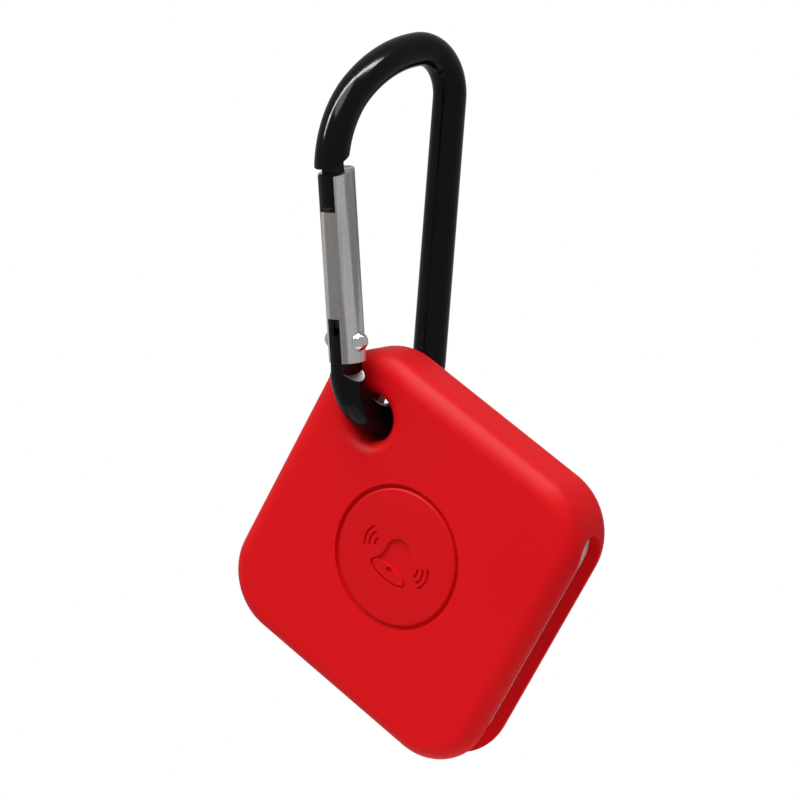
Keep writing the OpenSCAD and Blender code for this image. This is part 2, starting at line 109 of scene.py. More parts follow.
def piece(name, mesh_maker, pose, smooth=35):
    """Makes an object at the origin out of a bmesh drawn in millimetres."""
    bmesh.ops.remove_doubles(mesh_maker, verts=mesh_maker.verts, dist=1e-5)
    bmesh.ops.recalc_face_normals(mesh_maker, faces=mesh_maker.faces)
    mesh_maker.transform(pose)
    data = bpy.data.meshes.new(name)
    mesh_maker.to_mesh(data)
    mesh_maker.free()
    data.shade_smooth()
    data.set_sharp_from_angle(angle=radians(smooth))
    made = bpy.data.objects.new(name, data)
    bpy.context.scene.collection.objects.link(made)
    return made


def carve(body, *tools):
    """Cuts, joins or keeps what is common, in turn, and bakes the result into the mesh."""
    for operation, tool in tools:
        step = body.modifiers.new("carve", "BOOLEAN")
        step.operation = operation
        step.solver = "EXACT"
        step.object = tool
        bpy.context.view_layer.update()
        shaped = bpy.data.meshes.new_from_object(
            body.evaluated_get(bpy.context.evaluated_depsgraph_get()))
        body.modifiers.clear()
        old = body.data
        body.data = shaped
        bpy.data.meshes.remove(old)
        bpy.data.objects.remove(tool)
    return body


def finish_piece(made, name, pose, edge, segments=2, smooth=35, merge_flats=True):
    """Rounds the sharp edges of a carved body and puts it in its place.

    With merge_flats, the triangles of each flat face are joined first.
    """
    shape = bmesh.new()
    shape.from_mesh(made.data)
    bpy.data.objects.remove(made)
    bmesh.ops.remove_doubles(shape, verts=shape.verts, dist=2e-4)
    if merge_flats:
        bmesh.ops.dissolve_limit(shape, angle_limit=radians(0.5), verts=shape.verts,
                                 edges=shape.edges)
    done = piece(name, shape, pose, smooth)
    rounding = done.modifiers.new("edges", "BEVEL")
    rounding.width = edge * 0.001
    rounding.segments = segments
    rounding.limit_method = "ANGLE"
    rounding.angle_limit = radians(smooth)
    rounding.harden_normals = True
    return done


def drum(radius, length, sides=96, top_radius=None, turn=Matrix(), at=(0, 0, 0)):
    """A cylinder or cone from its foot at a point, along Z before it is turned."""
    shape = bmesh.new()
    top = radius if top_radius is None else top_radius
    bmesh.ops.create_cone(shape, cap_ends=True, segments=sides, radius1=radius, radius2=top,
                          depth=length, matrix=Matrix.Translation((0, 0, length / 2)))
    shape.transform(Matrix.Translation(at) @ turn)
    return shape


def block(low, high, turn=Matrix(), at=(0, 0, 0)):
    """A box between two corners, then turned and moved."""
    shape = bmesh.new()
    low, high = Vector(low), Vector(high)
    bmesh.ops.create_cube(shape, size=1)
    shape.transform(Matrix.Translation((low + high) / 2) @ Matrix.Diagonal((*(high - low), 1)))
    shape.transform(Matrix.Translation(at) @ turn)
    return shape


def tool(shape, turn=Matrix()):
    """A body that is carved, or that cuts or joins another and then goes."""
    return piece("tool", shape, turn)


TO_X = Matrix.Rotation(pi / 2, 4, "Y")
HALF_TURN = Matrix.Rotation(pi, 4, "Z")


def bent_bar():
    """The bar as a ring of edges, pushed straight and spun round each bend in turn."""
    bar = bmesh.new()
    ring = bmesh.ops.create_circle(bar, cap_ends=False, segments=BAR_SIDES, radius=BAR_R)
    bmesh.ops.translate(bar, verts=ring["verts"], vec=(0, -BEND_R, pivot_height + BAR_START))
    rim = list(bar.edges)

    def straight(rim, way):
        pushed = bmesh.ops.extrude_edge_only(bar, edges=rim)["geom"]
        verts = [part for part in pushed if isinstance(part, bmesh.types.BMVert)]
        bmesh.ops.translate(bar, verts=verts, vec=way)
        return [part for part in pushed if isinstance(part, bmesh.types.BMEdge)]

    def bend(rim, centre, angle, steps):
        corners = {vert for side in rim for vert in side.verts}
        spun = bmesh.ops.spin(bar, geom=list(corners) + rim, cent=centre, axis=ACROSS,
                              angle=angle, steps=steps)["geom_last"]
        return [part for part in spun if isinstance(part, bmesh.types.BMEdge)]

    rim = straight(rim, Vector((0, 0, BEND_R - pivot_height - BAR_START)))
    rim = bend(rim, (0, 0, BEND_R), pi - SPINE_LEAN, BEND_STEPS)
    along = Vector((0, sin(SPINE_LEAN), cos(SPINE_LEAN)))
    rim = straight(rim, SPINE_LENGTH * along)
    inward = Vector((0, -cos(SPINE_LEAN), sin(SPINE_LEAN)))
    foot = Vector((0, BEND_R * cos(SPINE_LEAN), BEND_R * (1 - sin(SPINE_LEAN))))
    end = foot + SPINE_LENGTH * along
    for radius, sweep in ARCH_BENDS:
        centre = end + radius * inward
        rim = bend(rim, centre, sweep, int(STEPS_PER_RADIAN * sweep) + 8)
        turn = Matrix.Rotation(sweep, 3, "X")
        end = centre + turn @ (end - centre)
        inward = turn @ inward
    slant = Matrix.Rotation(NOSE_SLANT, 3, "X") @ Vector((0, 0, -1))
    to_clip = GATE_IN_CLIP.to_3x3()
    cut_at = GATE_IN_CLIP @ Vector((0, 0, GATE_LENGTH + NOSE_GAP))
    # Only the end of the arch is cut. The spine and the foot are below the plane too, and stay.
    near_nose = [vert for vert in bar.verts
                 if vert.co.y < 0 and vert.co.z > pivot_height + NOSE_ZONE]
    faces = {face for vert in near_nose for face in vert.link_faces}
    edges = {side for face in faces for side in face.edges}
    verts = {vert for face in faces for vert in face.verts}
    bmesh.ops.bisect_plane(bar, geom=list(faces) + list(edges) + list(verts), plane_co=cut_at,
                           plane_no=to_clip @ slant, clear_outer=True)
    open_edges = [side for side in bar.edges if side.is_boundary]
    bmesh.ops.holes_fill(bar, edges=open_edges, sides=0)
    return bar


def latch_tongue():
    """Black tongue that hangs from the nose into the top slot of the gate."""
    head_foot = LATCH_Z + LATCH_FOOT_GAP
    head_top = GATE_LENGTH - LATCH_TOP_GAP
    half_t = LATCH_HALF - LATCH_CLEAR
    inner_y = LATCH_FLOOR_Y - LATCH_CLEAR
    tongue = tool(block((-half_t, -GATE_R, head_foot), (half_t, inner_y, head_top)))
    neck = tool(block((-half_t, -NECK_OUT, head_foot),
                      (half_t, inner_y, GATE_LENGTH + NOSE_GAP + NECK_ROOT)))
    round_off = tool(drum(GATE_R - 0.05, 12, at=(0, 0, head_foot - 0.5)))
    return carve(tongue, ("UNION", neck), ("INTERSECT", round_off))


bar = tool(bent_bar())
cam = tool(drum(CAM_R, TONGUE_T, turn=TO_X, at=(-TONGUE_T / 2, CAM_OFFSET, 0)), GATE_IN_CLIP)
tongue = latch_tongue()
tongue.data.transform(GATE_IN_CLIP)
flats = []
for side in (Matrix(), HALF_TURN):
    cone = drum(MILL_R, BAR_R + 0.1, top_radius=MILL_R + MILL_RAMP, turn=side @ TO_X,
                at=side @ Vector((TONGUE_T / 2, 0, 0)))
    flats.append(("DIFFERENCE", tool(cone, Matrix.Translation(pivot_local))))
pin_hole = tool(drum(TONGUE_HOLE_R, 6, sides=32, turn=TO_X, at=(-3, 0, 0)),
                Matrix.Translation(pivot_local))
carve(bar, *flats, ("UNION", cam), ("UNION", tongue), ("DIFFERENCE", pin_hole))
black_frame = finish_piece(bar, "black_frame", CLIP, edge=0.12, segments=3, merge_flats=False)
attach(black_frame, "carabiner")
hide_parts("carabiner_frame")


class Value:
    """A shader socket that can be written in a sum, as a number can."""

    def __init__(self, finish, socket):
        self.finish = finish
        self.socket = socket

    def _math(self, operation, first, second):
        return self.finish.node("ShaderNodeMath", {"operation": operation}, {0: first, 1: second})

    def __add__(self, other):
        return self._math("ADD", self, other)

    def __radd__(self, other):
        return self._math("ADD", other, self)

    def __sub__(self, other):
        return self._math("SUBTRACT", self, other)

    def __rsub__(self, other):
        return self._math("SUBTRACT", other, self)

    def __mul__(self, other):
        return self._math("MULTIPLY", self, other)

    def __rmul__(self, other):
        return self._math("MULTIPLY", other, self)

    def above(self, limit):
        return self._math("GREATER_THAN", self, limit)


class Finish:
    """A material under construction: one Principled shader and the nodes that feed it."""

    def __init__(self, name, **shader_values):
        self.material = bpy.data.materials.new(name)
        self.material.use_nodes = True
        self.tree = self.material.node_tree
        self.shader = self.tree.nodes["Principled BSDF"]
        for socket, value in shader_values.items():
            self.shader.inputs[socket.replace("_", " ")].default_value = value

    def node(self, kind, settings=None, inputs=None, output=0):
        made = self.tree.nodes.new(kind)
        for setting, value in (settings or {}).items():
            if setting == "stops":
                ramp = made.color_ramp
                while len(ramp.elements) < len(value):
                    ramp.elements.new(0.5)
                for element, (place, colour) in zip(ramp.elements, value):
                    element.position = place
                    element.color = (*colour, 1)
            else:
                setattr(made, setting, value)
        for socket, value in (inputs or {}).items():
            if isinstance(value, Value):
                self.tree.links.new(value.socket, made.inputs[socket])
            else:
                made.inputs[socket].default_value = value
        return Value(self, made.outputs[output])

    def place(self, scale=(1, 1, 1), turn=(0, 0, 0)):
        """Object coordinates, turned and then stretched."""
        spot = self.node("ShaderNodeTexCoord", output="Object")
        turned = self.node("ShaderNodeMapping", {"vector_type": "TEXTURE"},
                           {"Vector": spot, "Rotation": turn})
        return self.node("ShaderNodeVectorMath", {"operation": "MULTIPLY"}, {0: turned, 1: scale})

    def noise(self, scale, detail=3, spot=None, roughness=0.55):
        return self.node("ShaderNodeTexNoise", {},
                         {"Vector": spot or self.place(), "Scale": scale, "Detail": detail,
                          "Roughness": roughness})

    def blend(self, factor, first, second):
        return self.node("ShaderNodeMix", {"data_type": "RGBA"},
                         {0: factor, 6: (*first, 1) if isinstance(first, tuple) else first,
                          7: (*second, 1) if isinstance(second, tuple) else second}, output=2)

    def feed(self, **sockets):
        for socket, value in sockets.items():
            self.tree.links.new(value.socket, self.shader.inputs[socket.replace("_", " ")])

    def bump(self, height, depth):
        lumps = self.node("ShaderNodeBump", {}, {"Height": height, "Distance": depth})
        self.feed(Normal=lumps)

    def on(self, *objects):
        for made in objects:
            made.data.materials.clear()
            made.data.materials.append(self.material)


anodised = Finish("black_anodised", Base_Color=(0.002, 0.002, 0.003, 1), Roughness=0.16,
                  IOR=1.5, Specular_IOR_Level=0.16)
wear = anodised.noise(900, detail=5)
patches = anodised.noise(160, detail=2)
anodised.feed(Base_Color=anodised.blend(patches, (0.0015, 0.0015, 0.002), (0.004, 0.004, 0.005)),
              Roughness=wear * 0.08 + 0.09)
anodised.bump(anodised.noise(2500, detail=2), 0.000004)
anodised.on(black_frame)

bare = Finish("milled_aluminium", Base_Color=(0.6, 0.6, 0.6, 1), Metallic=1.0, Roughness=0.35)
tool_marks = bare.noise(6000, detail=2, spot=bare.place(scale=(1, 1, 0.08)))
bare.feed(Base_Color=bare.blend(tool_marks, (0.45, 0.45, 0.45), (0.85, 0.85, 0.84)),
          Roughness=tool_marks * 0.2 + 0.22)
bare.bump(tool_marks, 0.00004)
black_frame.data.materials.append(bare.material)
# The cutter's ramp at the end of each flat is bare below the pivot: a bright crescent.
to_pivot = (CLIP @ Matrix.Translation(pivot_local)).inverted()
for face in black_frame.data.polygons:
    centre = to_pivot @ face.center
    facing = to_pivot.to_3x3() @ face.normal
    around = Vector((centre.y, centre.z)).length
    inward = -(facing.y * centre.y + facing.z * centre.z) / (facing.length * around)
    on_ramp = MILL_R - 0.01 < around < MILL_R + MILL_RAMP
    if on_ramp and 0.8 < inward < 0.95 and centre.z < 0:
        face.material_index = 1

# ---------------------------------------------------------------- gate
# A straight piece of drawn aluminium bar, left bare. It is slotted at its foot for the
# pivot tongue and at its top for the latch, drilled from below for the spring, and
# tumbled, so its edges are rounded and bright.
SLOT_HALF = TONGUE_T / 2 + 0.07
SLOT_TOP = 2.8
BORE_R = 1.35
BORE_TOP = 11.5
PIN_R = 0.65
HEAD_SEAT = GATE_R - 0.17
HEAD_R = 1.1
WELL_PAST = 9

gate_body = tool(drum(GATE_R, GATE_FOOT + GATE_LENGTH + 1, at=(0, 0, -GATE_FOOT)))
top_cut = tool(block((-10, -15, 0), (10, 15, 20), turn=Matrix.Rotation(GATE_SLANT, 4, "X"),
                     at=(0, 0, GATE_LENGTH)))
foot_slot = tool(block((-SLOT_HALF, -WELL_PAST, -WELL_PAST), (SLOT_HALF, WELL_PAST, SLOT_TOP)))
latch_slot = tool(block((-LATCH_HALF, -WELL_PAST, LATCH_Z),
                        (LATCH_HALF, LATCH_FLOOR_Y, LATCH_Z + 10)))
spring_bore = tool(drum(BORE_R, GATE_FOOT + BORE_TOP + 0.5, sides=48, at=(0, 0, -GATE_FOOT - 0.5)))
pin_bore = tool(drum(PIN_R, 10, sides=32, turn=TO_X, at=(-5, 0, 0)))
seats = [tool(drum(HEAD_R + 0.06, 4, sides=48, turn=side @ TO_X,
                   at=side @ Vector((HEAD_SEAT, 0, 0)))) for side in (Matrix(), HALF_TURN)]
carve(gate_body, ("DIFFERENCE", top_cut), ("DIFFERENCE", foot_slot), ("DIFFERENCE", latch_slot),
      ("DIFFERENCE", spring_bore), ("DIFFERENCE", pin_bore),
      ("DIFFERENCE", seats[0]), ("DIFFERENCE", seats[1]))
gate_shaft = finish_piece(gate_body, "gate_shaft", GATE, edge=0.2, segments=3)
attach(gate_shaft, "gate")
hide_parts("gate_bar")

satin = Finish("drawn_aluminium", Base_Color=(0.60, 0.59, 0.59, 1), Metallic=1.0, Roughness=0.3)
gate_turn = (gate_lean, 0, clip_yaw)
drawn = satin.place(scale=(1, 1, 0.03), turn=gate_turn)
streaks = satin.noise(5200, detail=4, spot=drawn)
broad = satin.noise(900, detail=2, spot=drawn)
specks = satin.noise(2600, detail=2)
grain_lines = satin.blend(streaks * 0.6 + specks * 0.4, (0.58, 0.57, 0.58), (0.95, 0.94, 0.95))
# Painted reflection: lengthwise darker and lighter bands in the base colour stand in for the
# streaks that a round bar reflects. The drawn lines that this multiplies are the metal's own grain.
painted_reflection_stripe = satin.node("ShaderNodeValToRGB",
                    {"stops": ((0.42, (0.52, 0.49, 0.46)), (0.54, (1, 1, 1)))}, {"Fac": broad})
satin.feed(Base_Color=satin.node("ShaderNodeMix", {"data_type": "RGBA", "blend_type": "MULTIPLY"},
                                 {0: 1.0, 6: grain_lines, 7: painted_reflection_stripe}, output=2),
           Roughness=broad * 0.16 + specks * 0.12 + 0.20)
satin.bump(streaks, 0.00002)
satin.on(gate_shaft)

# ---------------------------------------------------------------- gate pin
# A steel rivet through the gate and the tongue, which holds them together. Both ends are
# headed into tall round domes that sit in shallow seats in the gate and are polished bright.
HEAD_H = 1.05
HEAD_FOOT = 0.94
DOME_STEPS = 10
DOME_SIDES = 48

rivet = drum(PIN_R, 2 * HEAD_SEAT, sides=48, turn=TO_X, at=(-HEAD_SEAT, 0, 0))
for side in (Matrix(), HALF_TURN):
    dome = bmesh.new()
    ball_r = (HEAD_R ** 2 + HEAD_H ** 2) / (2 * HEAD_H)
    spread = atan2(HEAD_R, ball_r - HEAD_H)
    rim = [dome.verts.new((0, 0, 0)), dome.verts.new((HEAD_R * HEAD_FOOT, 0, 0))]
    for step in range(DOME_STEPS + 1):
        angle = spread * (1 - step / DOME_STEPS)
        rim.append(dome.verts.new((ball_r * sin(angle), 0, HEAD_H - ball_r * (1 - cos(angle)))))
    for first, second in zip(rim, rim[1:]):
        dome.edges.new((first, second))
    bmesh.ops.spin(dome, geom=list(dome.verts) + list(dome.edges), cent=(0, 0, 0), axis=(0, 0, 1),
                   angle=2 * pi, steps=DOME_SIDES, use_merge=True)
    bmesh.ops.remove_doubles(dome, verts=dome.verts, dist=1e-5)
    dome.transform(side @ Matrix.Translation((HEAD_SEAT, 0, 0)) @ TO_X)
    dome_mesh = bpy.data.meshes.new("dome")
    dome.to_mesh(dome_mesh)
    dome.free()
    rivet.from_mesh(dome_mesh)
    bpy.data.meshes.remove(dome_mesh)
pivot_rivet = piece("pivot_rivet", rivet, GATE, smooth=50)
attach(pivot_rivet, "gate")
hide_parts("gate_pin")

polished = Finish("polished_steel", Base_Color=(0.78, 0.78, 0.79, 1), Metallic=1.0, Roughness=0.1)
dents = polished.noise(1500, detail=2)
polished.feed(Base_Color=polished.blend(dents, (0.66, 0.66, 0.67), (0.84, 0.84, 0.85)),
              Roughness=polished.noise(4000) * 0.12 + 0.06)
polished.bump(dents, 0.00003)
polished.on(pivot_rivet)

# ---------------------------------------------------------------- silicone sleeve
# One soft moulding in matte red silicone, stretched over the tracker. It is slit along
# one side, where the tracker goes in, and its corner hole flares out to both faces.
SLEEVE_HALF = 19.5
SLEEVE_CORNER = 7.7
SLEEVE_EDGE = 2.3
FACE = 4.4
POCKET_HALF = 17.95
POCKET_CORNER = 6.15
POCKET_EDGE = 0.8
POCKET_FACE = 3.05
HOLE_R = 2.881
HOLE_RIM = 1.6
HOLE_INSET = 16.488
COLLAR_R = 4.881
COLLAR_TALL = 1.8
COLLAR_FEET = (1.5, -3.3)
SLOT_W = FACE - SLEEVE_EDGE
SLOT_END = 15.9
SLOT_REACH = 3
GROOVE_R = 8.4
GROOVE_W = 0.5
WEB_TOP = 3.95
TAG_TURN = radians(-13.9)

swing = joints["tag_swing"]
hole_uv = HOLE_INSET / sqrt(2)
TAG = (Matrix.Translation(Vector(swing["pos_m"])) @ Matrix.Rotation(TAG_TURN, 4, "Y") @ MM
       @ Matrix.Translation((0, 0, -HOLE_INSET)) @ Matrix.Rotation(pi / 2, 4, "X")
       @ Matrix.Rotation(pi / 4, 4, "Z"))


def soft_plate(half, corner, edge, face, corner_steps=20, edge_steps=8):
    """A square plate: a block with its corners and then its face edges rolled over."""
    plate = block((-half, -half, -face), (half, half, face))
    upright = [side for side in plate.edges
               if abs(side.verts[0].co.z - side.verts[1].co.z) > face]
    bmesh.ops.bevel(plate, geom=upright, offset=corner, segments=corner_steps, profile=0.5,
                    affect="EDGES", material=-1)
    rims = [side for side in plate.edges
            if abs(side.verts[0].co.z - side.verts[1].co.z) < 1e-6]
    bmesh.ops.bevel(plate, geom=rims, offset=edge, segments=edge_steps, profile=0.5,
                    affect="EDGES", material=-1)
    return plate


def turned(outline, steps=96):
    """Spins an outline of (radius, height) points that starts and ends on the axis."""
    shape = bmesh.new()
    corners = [shape.verts.new((radius, 0, height)) for radius, height in outline]
    for first, second in zip(corners, corners[1:]):
        shape.edges.new((first, second))
    bmesh.ops.spin(shape, geom=list(shape.verts) + list(shape.edges), cent=(0, 0, 0),
                   axis=(0, 0, 1), angle=2 * pi, steps=steps, use_merge=True)
    return shape


def arc_points(centre, radius, start, end, steps):
    """Points on an arc as (across, up), from one angle in degrees to another."""
    angles = [radians(start + (end - start) * step / steps) for step in range(steps + 1)]
    return [(centre[0] + radius * cos(a), centre[1] + radius * sin(a)) for a in angles]


def flared_hole():
    """The space of the corner hole, which runs a little past both faces."""
    straight = FACE - HOLE_RIM
    reach = HOLE_R + HOLE_RIM
    upper = arc_points((reach, straight), HOLE_RIM, 180, 95, 12)
    brim = [(reach + 0.02, FACE + 0.0005), (reach + 0.02, FACE + 1)]
    half = upper + brim
    lower = [(across, -up) for across, up in reversed(half)]
    return turned([(0, -FACE - 1)] + lower + half + [(0, FACE + 1)])


sleeve_body = tool(soft_plate(SLEEVE_HALF, SLEEVE_CORNER, SLEEVE_EDGE, FACE))
pocket = tool(soft_plate(POCKET_HALF, POCKET_CORNER, POCKET_EDGE, POCKET_FACE, 16, 4))
past = SLEEVE_HALF + 1
slot_top = SLOT_END - SLOT_W
slot_side = tool(block((-past, -past, -SLOT_W), (slot_top, -POCKET_HALF + SLOT_REACH, SLOT_W)))
slot_round = tool(drum(SLOT_W, past - POCKET_HALF + SLOT_REACH, sides=64,
                       at=(slot_top, -past, 0), turn=Matrix.Rotation(-pi / 2, 4, "X")))
slot_corner = tool(block((-past, -past, -SLOT_W),
                         (-POCKET_HALF + SLOT_REACH, -SLEEVE_HALF + SLEEVE_CORNER, SLOT_W)))
window = tool(drum(GROOVE_R + GROOVE_W / 2, 3, sides=128, at=(0, 0, POCKET_FACE - 0.5)))
collars = [tool(drum(COLLAR_R, COLLAR_TALL, at=(hole_uv, hole_uv, low))) for low in COLLAR_FEET]
hole = tool(flared_hole(), Matrix.Translation((hole_uv, hole_uv, 0)))
carve(sleeve_body, ("DIFFERENCE", pocket), ("DIFFERENCE", slot_side), ("DIFFERENCE", slot_round),
      ("DIFFERENCE", slot_corner), ("DIFFERENCE", window), ("UNION", collars[0]),
      ("UNION", collars[1]), ("DIFFERENCE", hole))
red_sleeve = finish_piece(sleeve_body, "red_sleeve", TAG, edge=0.28, segments=3, smooth=32)
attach(red_sleeve, "tag")
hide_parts("silicone_sleeve")


def silicone(name, colour):
    """Moulded silicone: matte, faintly grained by the mould, a touch of light inside."""
    red = Finish(name, Roughness=0.5, IOR=1.41, Specular_IOR_Level=0.14, Subsurface_Weight=0.06,
                 Subsurface_Scale=0.0008, Subsurface_Radius=(1.0, 0.2, 0.15))
    darker = tuple(0.93 * part for part in colour)
    cloud = red.noise(70, detail=2)
    grain = red.noise(9000, detail=2)
    red.feed(Base_Color=red.blend(cloud, darker, colour),
             Roughness=grain * 0.12 + cloud * 0.06 + 0.38)
    red.bump(grain, 0.000012)
    return red


silicone("red_silicone", (0.90, 0.005, 0.009)).on(red_sleeve)

# ---------------------------------------------------------------- groove web
# The sleeve and its press pad are one moulding, joined by a thin web at the bottom of the
# groove. The real web stretches as the pad goes in; this one stays with the sleeve.
WEB_T = 0.16
WEB_DIP_R = 0.24

web_in = GROOVE_R - GROOVE_W / 2 + 0.01
web_out = GROOVE_R + GROOVE_W / 2 + 0.15
web_foot = WEB_TOP - WEB_T
web = turned([(web_in, web_foot), (web_in, WEB_TOP)]
             + arc_points((GROOVE_R, WEB_TOP + WEB_DIP_R / 2), WEB_DIP_R, 210, 330, 6)
             + [(web_out, WEB_TOP), (web_out, web_foot), (web_in, web_foot)], steps=128)
groove_web = piece("groove_web", web, TAG)
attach(groove_web, "tag")
# The web's red is darker than the sleeve's: this is painted shade at the bottom of the groove.
silicone("red_silicone_web_painted_shade", (0.74, 0.004, 0.008)).on(groove_web)

# ---------------------------------------------------------------- press pad
# The round of the sleeve over the button, flush with the face. A ringing bell is
# engraved in it, with three sound lines on either side.
PAD_R = GROOVE_R - GROOVE_W / 2
PAD_FOOT = 3.3
PAD_BACK = 3.0
PAD_ROUND = 0.3
CAP_R = 6.9
CAP_ROOM = 0.2
ICON_DEPTH = 0.35
LINE_W = 0.28
MOUTH_AT = -2.2
SOUND_AT = (0, 2.57)
SOUND_RADII = (0.75, 1.52, 2.22)

back_r = CAP_R - CAP_ROOM
pad_edge = arc_points((PAD_R - PAD_ROUND, FACE - PAD_ROUND), PAD_ROUND, 0, 90, 6)
pad_body = tool(turned([(0, PAD_BACK), (back_r, PAD_BACK), (back_r, PAD_FOOT), (PAD_R, PAD_FOOT)]
                       + pad_edge + [(0, FACE)], steps=128))


def engraving(outline, inner=None, at=(0, 0), flip=1):
    """A solid that stands through the face over an outline, with an island left out."""
    shape = bmesh.new()
    loop = [shape.verts.new((x + at[0], flip * (y + at[1]), FACE - ICON_DEPTH)) for x, y in outline]
    base = shape.faces.new(loop)
    pushed = bmesh.ops.extrude_face_region(shape, geom=[base])["geom"]
    bmesh.ops.translate(shape, vec=(0, 0, 1),
                        verts=[part for part in pushed if isinstance(part, bmesh.types.BMVert)])
    made = tool(shape)
    if inner:
        island = engraving(inner, at=at, flip=flip)
        island.data.transform(Matrix.Translation((0, 0, -FACE)) @ Matrix.Diagonal((1, 1, 2, 1)))
        carve(made, ("DIFFERENCE", island))
    return made


def oval(across, up, centre, steps=40):
    """Points round an ellipse whose centre lies on the bell's axis."""
    return [(centre + across * cos(2 * pi * s / steps), up * sin(2 * pi * s / steps))
            for s in range(steps)]


def sound_line(radius):
    """A curved line of even width with round ends, which faces +y from its centre."""
    half = LINE_W / 2
    left, right = radians(126), radians(54)
    outer = arc_points((0, 0), radius + half, 54, 126, 12)
    inner = arc_points((0, 0), radius - half, 126, 54, 12)
    left_end = arc_points((radius * cos(left), radius * sin(left)), half, 126, 306, 6)[1:-1]
    right_end = arc_points((radius * cos(right), radius * sin(right)), half, 234, 414, 6)[1:-1]
    return outer + left_end + inner + right_end


def bell_outline():
    """Dome and flared skirt, down to both ends of the mouth."""
    crown = arc_points((0.55, 0), 1.75, -98, 98, 20)
    flare = [(-0.35, 1.79), (-0.8, 1.9), (-1.2, 2.06), (-1.55, 2.28), (-1.9, 2.55)]
    mouth = arc_points((0, 0), 1, 90, 270, 20)
    mouth = [(MOUTH_AT + 1.1 * x, 2.75 * y) for x, y in mouth]
    back = [(x, -y) for x, y in reversed(flare)]
    return crown + flare + mouth + back


bell = engraving(bell_outline(), oval(0.8, 2.45, MOUTH_AT))
cuts = [("DIFFERENCE", bell), ("DIFFERENCE", engraving(oval(0.35, 0.48, -1.85, 20)))]
for flip in (1, -1):
    for radius in SOUND_RADII:
        cuts.append(("DIFFERENCE", engraving(sound_line(radius), at=SOUND_AT, flip=flip)))
carve(pad_body, *cuts)
press_pad = finish_piece(pad_body, "press_pad", TAG, edge=0.07, segments=2, smooth=40)
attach(press_pad, "button")
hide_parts("sleeve_press_pad")
silicone("red_silicone_pad", (0.84, 0.005, 0.009)).on(press_pad)

# ---------------------------------------------------------------- tracker shells
# Two mouldings in white plastic, which snap together round the edge. Only their side
# shows, in the slot of the sleeve. The button cap under the pad is the same plastic.
white = Finish("white_plastic", Roughness=0.35, IOR=1.49)
tint = white.noise(120, detail=2)
texture = white.noise(7000, detail=2)
white.feed(Base_Color=white.blend(tint, (0.80, 0.80, 0.78), (0.88, 0.88, 0.87)),
           Roughness=texture * 0.2 + 0.25)
white.bump(texture, 0.000008)
white.on(*(frame["nodes"][name] for name in ("front_shell", "rear_shell", "button_cap")))

# ---------------------------------------------------------------- circuit board
# Glass fibre board under green solder mask, with a printed pattern of traces and the
# glint of small plated holes.
board = Finish("solder_mask", Roughness=0.3, IOR=1.5)
tracks = board.node("ShaderNodeTexVoronoi", {"feature": "DISTANCE_TO_EDGE"},
                    {"Vector": board.place(), "Scale": 420.0})
traces = tracks.above(0.06)
vias = board.node("ShaderNodeTexVoronoi", {}, {"Vector": board.place(), "Scale": 700.0})
masked = board.blend(traces, (0.03, 0.22, 0.08), (0.012, 0.12, 0.045))
board.feed(Base_Color=board.blend(vias.above(0.09), (0.75, 0.62, 0.35), masked),
           Roughness=traces * 0.15 + 0.25)
board.bump(traces, 0.00002)
board.on(frame["nodes"]["circuit_board"])


# ---------------------------------------------------------------- moulded and pressed parts
# Chip and switch bodies in black plastic, ceramic antenna and capacitors, and the inner
# parts of the cell and the sounder. All are matte with a fine grain.
def moulded(name, dark, light, rough=0.55):
    """A matte finish between two shades, for plastic and ceramic."""
    body = Finish(name, Roughness=rough, IOR=1.5)
    grain = body.noise(5000, detail=3)
    body.feed(Base_Color=body.blend(grain, dark, light), Roughness=grain * 0.25 + rough - 0.12)
    body.bump(grain, 0.00001)
    return body


for name, dark, light in (("bluetooth_chip", (0.012, 0.012, 0.014), (0.03, 0.03, 0.032)),
                          ("switch_base", (0.02, 0.02, 0.02), (0.05, 0.05, 0.05)),
                          ("switch_stem", (0.01, 0.01, 0.01), (0.03, 0.03, 0.03)),
                          ("battery_gasket", (0.02, 0.02, 0.02), (0.04, 0.04, 0.04)),
                          ("battery_core", (0.06, 0.06, 0.065), (0.11, 0.11, 0.115)),
                          ("chip_antenna", (0.62, 0.60, 0.52), (0.75, 0.74, 0.68)),
                          ("chip_capacitors", (0.25, 0.16, 0.09), (0.42, 0.30, 0.19)),
                          ("sounder_ceramic", (0.60, 0.57, 0.48), (0.74, 0.72, 0.64)),
                          ("sounder_tape", (0.66, 0.65, 0.58), (0.80, 0.79, 0.74))):
    moulded(name + "_body", dark, light).on(frame["nodes"][name])


# ---------------------------------------------------------------- plated metal parts
# Coin cell, crystals, contacts, springs, plunger and sounder disc: rolled or turned metal
# with the faint lines of rolling. It is nickel plated, plain brass or blackened.
def plated(name, dark, light, rough=0.28):
    """A metal finish between two shades, with faint lines along one axis."""
    metal = Finish(name, Metallic=1.0, Roughness=rough)
    rolled = metal.noise(2400, detail=3, spot=metal.place(scale=(1, 1, 0.08)))
    metal.feed(Base_Color=metal.blend(rolled, dark, light), Roughness=rolled * 0.2 + rough - 0.1)
    metal.bump(rolled, 0.000006)
    return metal


NICKEL = ((0.58, 0.57, 0.55), (0.74, 0.73, 0.71))
BRASS = ((0.58, 0.42, 0.16), (0.78, 0.60, 0.28))
DARKENED = ((0.02, 0.02, 0.02), (0.05, 0.05, 0.05))
for name, (dark, light) in (("battery_can", NICKEL), ("battery_cap", NICKEL),
                            ("main_crystal", NICKEL), ("clock_crystal", NICKEL),
                            ("gate_spring", NICKEL), ("switch_dome", NICKEL),
                            ("sounder_contacts", NICKEL), ("gate_plunger", DARKENED),
                            ("sounder_disc", BRASS), ("positive_contact", BRASS),
                            ("negative_contact", BRASS)):
    plated(name + "_metal", dark, light).on(frame["nodes"][name])

